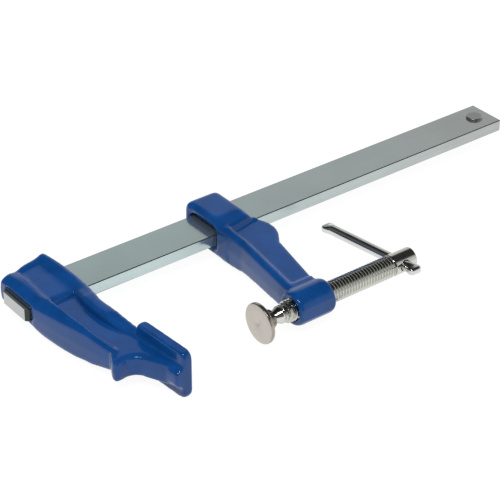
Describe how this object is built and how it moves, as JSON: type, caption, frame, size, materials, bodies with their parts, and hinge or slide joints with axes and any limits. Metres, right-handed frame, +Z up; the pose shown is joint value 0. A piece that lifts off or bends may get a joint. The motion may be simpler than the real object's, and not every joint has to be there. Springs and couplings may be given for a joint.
{
  "type": "quick release bar clamp",
  "caption": "Sliding-jaw bar clamp: flat steel bar, cast fixed jaw, cast sliding jaw with a clamping screw, swivel pad and sliding tommy bar.",
  "frame": {"origin": "where the screw's axis meets the fixed jaw's clamping face, halfway through the bar's thickness", "axes": "+X along the bar, away from the fixed jaw's face; +Y from the screw's axis towards the bar; +Z up, square to the bar's wide face"},
  "size_m": [0.442, 0.1678, 0.035],
  "materials": {
    "blue_paint": "glossy paint over a cast surface",
    "zinc_bar": "zinc plated, satin, lengthwise drawing marks",
    "rivet_steel": "zinc plated",
    "zinc_screw": "bright zinc plated, turned",
    "satin_pad": "warm grey satin",
    "bright_rod": "bright plated"
  },
  "bodies": {
    "bar_and_fixed_jaw": {"bar": "zinc_bar", "stop_rivet": "rivet_steel", "fixed_jaw": "blue_paint", "jaw_pin": "rivet_steel"},
    "sliding_jaw": {"sliding_jaw": "blue_paint"},
    "swivel_pad": {"swivel_pad": "satin_pad"},
    "screw": {"screw": "zinc_screw"},
    "tommy_bar": {"tommy_bar": "bright_rod"}
  },
  "joints": [
    {"name": "jaw_slide", "type": "slide", "parent": "bar_and_fixed_jaw", "child": "sliding_jaw", "axis": [1, 0, 0], "range_m": [-0.037, 0.233]},
    {"name": "screw_advance", "type": "slide", "parent": "sliding_jaw", "child": "swivel_pad", "axis": [-1, 0, 0], "range_m": [-0.0128, 0.0306]},
    {"name": "screw_spin", "type": "hinge", "parent": "swivel_pad", "child": "screw", "pos_m": [0.1, 0, 0], "axis": [-1, 0, 0], "range_deg": [-1800, 4320]},
    {"name": "tommy_slide", "type": "slide", "parent": "screw", "child": "tommy_bar", "axis": [0, -0.9924, 0.1233], "range_m": [0, 0.0635]}
  ],
  "couplings": [
    {"joint": "screw_advance", "follows": "screw_spin", "m_per_rad": 0.00040425}
  ]
}
